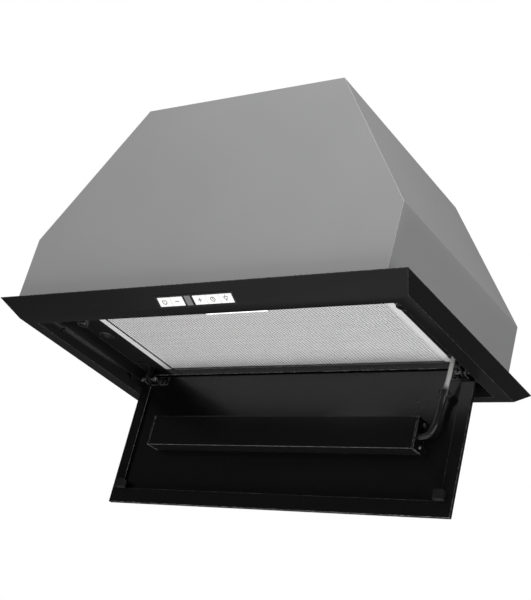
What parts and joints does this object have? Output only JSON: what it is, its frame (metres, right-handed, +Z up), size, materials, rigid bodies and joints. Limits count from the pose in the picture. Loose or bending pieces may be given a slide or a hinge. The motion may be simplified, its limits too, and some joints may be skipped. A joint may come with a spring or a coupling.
{
  "type": "built-in cooker hood",
  "caption": "Built-in cooker hood: grey tapered canopy on a black bevelled rim, mesh grease filter, touch keys and a hinged suction flap that carries the lamp and hangs open.",
  "frame": {"origin": "middle of the four cupboard screws, on the top face of the rim that bears on the cupboard's underside", "axes": "+X to the right seen from the front, +Y towards the wall, +Z up through the outlet"},
  "size_m": [0.52, 0.268, 0.4175],
  "materials": {
    "canopy_paint": "satin grey powder coat",
    "rim_paint": "semi-gloss black enamel",
    "zinc_sheet": "galvanised",
    "chamber_paint": "semi-gloss black enamel",
    "flap_paint": "semi-gloss black enamel",
    "steel": "bright zinc plate",
    "filter_aluminium": "fine expanded mesh",
    "latch_metal": "satin anodised",
    "black_plastic": "fine texture",
    "magnet": "nickel plate",
    "strike_plate": "grey, smooth",
    "bezel_silver": "satin",
    "display_black": "gloss",
    "button_pale": "satin",
    "circuit_board": "solder mask",
    "led": "phosphor",
    "diffuser": "frosted",
    "cable_grey": "ribbed PVC",
    "sleeve_black": "smooth, slightly glossy",
    "blower_plastic": "moulded",
    "motor_steel": "grey enamel"
  },
  "bodies": {
    "canopy": {"bearing_plate": "zinc_sheet", "blower_scroll_left": "blower_plastic", "blower_scroll_right": "blower_plastic", "cable_grommet": "black_plastic", "capacitor": "motor_steel", "catch_holders": "black_plastic", "catch_magnets": "magnet", "chamber_tray": "chamber_paint", "control_bezel": "bezel_silver", "control_board": "circuit_board", "control_box": "blower_plastic", "control_box_lid": "blower_plastic", "control_display": "display_black", "cupboard_rivet_nuts": "steel", "damper_pin": "steel", "filter_frame": "filter_aluminium", "filter_mesh": "filter_aluminium", "fixing_caps": "black_plastic", "front_panel": "canopy_paint", "hinge_brackets": "chamber_paint", "hinge_nuts": "steel", "hinge_pins": "steel", "lamp_cable": "cable_grey", "left_side_panel": "canopy_paint", "lip_screws": "steel", "mains_gland": "black_plastic", "motor": "motor_steel", "motor_bracket": "motor_steel", "motor_screws": "steel", "outlet_collar": "black_plastic", "outlet_screws": "steel", "power_board": "circuit_board", "rear_panel": "canopy_paint", "rear_panel_screws": "steel", "right_side_panel": "canopy_paint", "rim_frame": "rim_paint", "terminal_block": "black_plastic", "top_plate": "canopy_paint"},
    "flap": {"flap_panel": "flap_paint", "flap_brackets": "flap_paint", "flap_rivets": "steel", "flap_strikes": "strike_plate", "lamp_housing": "flap_paint", "lamp_caps": "flap_paint", "lamp_cap_screws": "steel", "led_board": "circuit_board", "led_chips": "led", "lamp_diffuser": "diffuser", "lamp_cable_sleeve": "sleeve_black", "cable_clip": "black_plastic"},
    "filter_latch": {"filter_latch": "latch_metal"},
    "impeller": {"impeller": "blower_plastic", "motor_shaft": "steel"},
    "damper_front": {"damper_front": "black_plastic"},
    "damper_rear": {"damper_rear": "black_plastic"},
    "button_power": {"button_power": "button_pale"},
    "button_minus": {"button_minus": "button_pale"},
    "button_plus": {"button_plus": "button_pale"},
    "button_timer": {"button_timer": "button_pale"},
    "button_lamp": {"button_lamp": "button_pale"}
  },
  "joints": [
    {"name": "flap_hinge", "type": "hinge", "parent": "canopy", "child": "flap", "pos_m": [0, 0.079, 0.0008], "axis": [-1, 0, 0], "range_deg": [0, 91.5], "deforming": ["lamp_cable"]},
    {"name": "filter_latch_slide", "type": "slide", "parent": "canopy", "child": "filter_latch", "axis": [0, 1, 0], "range_m": [0, 0.005], "stiffness_N_per_m": 400, "springref_m": -0.003},
    {"name": "impeller_spin", "type": "hinge", "parent": "canopy", "child": "impeller", "pos_m": [0, -0.03, 0.11], "axis": [1, 0, 0], "continuous": true},
    {"name": "damper_rear_hinge", "type": "hinge", "parent": "canopy", "child": "damper_rear", "pos_m": [0, 0, 0.2439], "axis": [1, 0, 0], "range_deg": [0, 72]},
    {"name": "damper_front_hinge", "type": "hinge", "parent": "canopy", "child": "damper_front", "pos_m": [0, 0, 0.2439], "axis": [-1, 0, 0], "range_deg": [0, 72]},
    {"name": "button_power_press", "type": "slide", "parent": "canopy", "child": "button_power", "axis": [0, 0.4338, 0.901], "range_m": [0, 0.0005], "stiffness_N_per_m": 500, "springref_m": -0.0015},
    {"name": "button_minus_press", "type": "slide", "parent": "canopy", "child": "button_minus", "axis": [0, 0.4338, 0.901], "range_m": [0, 0.0005], "stiffness_N_per_m": 500, "springref_m": -0.0015},
    {"name": "button_plus_press", "type": "slide", "parent": "canopy", "child": "button_plus", "axis": [0, 0.4338, 0.901], "range_m": [0, 0.0005], "stiffness_N_per_m": 500, "springref_m": -0.0015},
    {"name": "button_timer_press", "type": "slide", "parent": "canopy", "child": "button_timer", "axis": [0, 0.4338, 0.901], "range_m": [0, 0.0005], "stiffness_N_per_m": 500, "springref_m": -0.0015},
    {"name": "button_lamp_press", "type": "slide", "parent": "canopy", "child": "button_lamp", "axis": [0, 0.4338, 0.901], "range_m": [0, 0.0005], "stiffness_N_per_m": 500, "springref_m": -0.0015}
  ]
}
